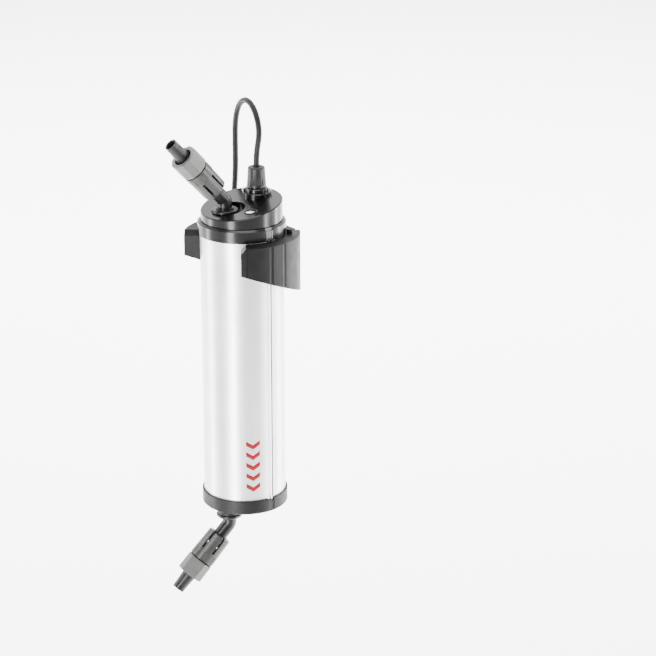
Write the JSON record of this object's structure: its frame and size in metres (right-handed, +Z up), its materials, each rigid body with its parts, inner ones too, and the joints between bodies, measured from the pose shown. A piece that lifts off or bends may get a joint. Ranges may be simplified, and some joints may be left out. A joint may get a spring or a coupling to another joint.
{
  "type": "uv clarifier",
  "caption": "Upright inline water clarifier in a wall bracket: round housing with a locking ring, sloped head, cord gland, and a swivelling hose elbow with screw coupling at each end.",
  "frame": {"origin": "middle of the bracket's flat back face, where it meets the wall", "axes": "+Z up along the housing's axis, towards the head; +Y out of the bracket's back, into the wall; +X completes the right-handed set"},
  "size_m": [0.1533, 0.13, 0.5084],
  "materials": {
    "tube": "satin anodised, near white",
    "black_gloss": "gloss moulded",
    "black_satin": "satin moulded",
    "bracket": "satin moulded",
    "nut": "satin moulded",
    "collet": "satin moulded",
    "nozzle": "satin moulded",
    "gland_grey": "satin moulded",
    "rubber": "matte",
    "steel": "bright",
    "quartz": "clear",
    "lens": "frosted",
    "lamp_glass": "clear",
    "lamp_cap": "satin moulded",
    "brass": "bright",
    "board": "varnished",
    "parts": "satin",
    "mirror": "bright",
    "cord": "satin sheath"
  },
  "bodies": {
    "housing": {"bracket_cradle": "bracket", "bracket_pegs": "bracket", "housing_tube": "tube", "bayonet_lugs": "tube", "bottom_cap": "black_satin", "outlet_boss": "black_satin", "bottom_cap_o_ring": "rubber", "reflector_liner": "mirror", "head_base": "black_gloss", "head_cover": "black_gloss", "window_bezel": "black_satin", "window_lens": "lens", "head_o_ring": "rubber", "duct_gasket": "rubber", "gland_base": "black_gloss", "gland_screws": "steel", "gland_nut": "gland_grey", "gland_seal": "rubber", "quartz_sleeve": "quartz", "sleeve_o_ring": "rubber", "sleeve_nut": "black_satin", "lamp_tubes": "lamp_glass", "lamp_base": "lamp_cap", "lamp_pins": "brass", "lamp_socket": "lamp_cap", "ballast_board": "board", "ballast_parts": "parts", "board_screws": "steel", "lamp_leads": "rubber", "sleeve_spider": "black_satin", "power_cord": "cord", "cord_hank": "cord", "cord_tie": "black_satin", "cord_tail": "cord", "plug_strain_relief": "cord", "plug_body": "black_satin", "plug_pins": "brass"},
    "locking_ring": {"locking_ring": "black_gloss"},
    "latch": {"latch_button": "black_satin"},
    "inlet_arm": {"inlet_elbow": "black_gloss", "inlet_shaft_o_ring": "rubber", "inlet_retaining_clip": "steel", "inlet_collet_sleeve": "collet", "inlet_coupling_o_ring": "rubber", "inlet_nozzle": "nozzle"},
    "inlet_nut": {"inlet_union_nut": "nut"},
    "outlet_arm": {"outlet_elbow": "black_gloss", "outlet_shaft_o_ring": "rubber", "outlet_retaining_clip": "steel", "outlet_collet_sleeve": "collet", "outlet_coupling_o_ring": "rubber", "outlet_nozzle": "nozzle"},
    "outlet_nut": {"outlet_union_nut": "nut"}
  },
  "joints": [
    {"name": "inlet_swivel", "type": "hinge", "parent": "housing", "child": "inlet_arm", "pos_m": [-0.0025, -0.0677, 0.0548], "axis": [0, 0, 1], "range_deg": [-90, 100]},
    {"name": "inlet_nut_turn", "type": "hinge", "parent": "inlet_arm", "child": "inlet_nut", "pos_m": [-0.00889, -0.10394, 0.10817], "axis": [-0.1162, -0.659, 0.7431], "range_deg": [0, 270]},
    {"name": "outlet_swivel", "type": "hinge", "parent": "housing", "child": "outlet_arm", "pos_m": [-0.0025, -0.0677, -0.2695], "axis": [0, 0, 1], "range_deg": [-118, 150]},
    {"name": "outlet_nut_turn", "type": "hinge", "parent": "outlet_arm", "child": "outlet_nut", "pos_m": [-0.01326, -0.10289, -0.32287], "axis": [-0.1956, -0.6399, -0.7431], "range_deg": [0, 270]},
    {"name": "ring_turn", "type": "hinge", "parent": "housing", "child": "locking_ring", "pos_m": [0, -0.0487, 0.032], "axis": [0, 0, 1], "range_deg": [0, 20]},
    {"name": "latch_press", "type": "slide", "parent": "locking_ring", "child": "latch", "axis": [-1, 0, 0], "range_m": [0, 0.0008], "stiffness_N_per_m": 300}
  ]
}
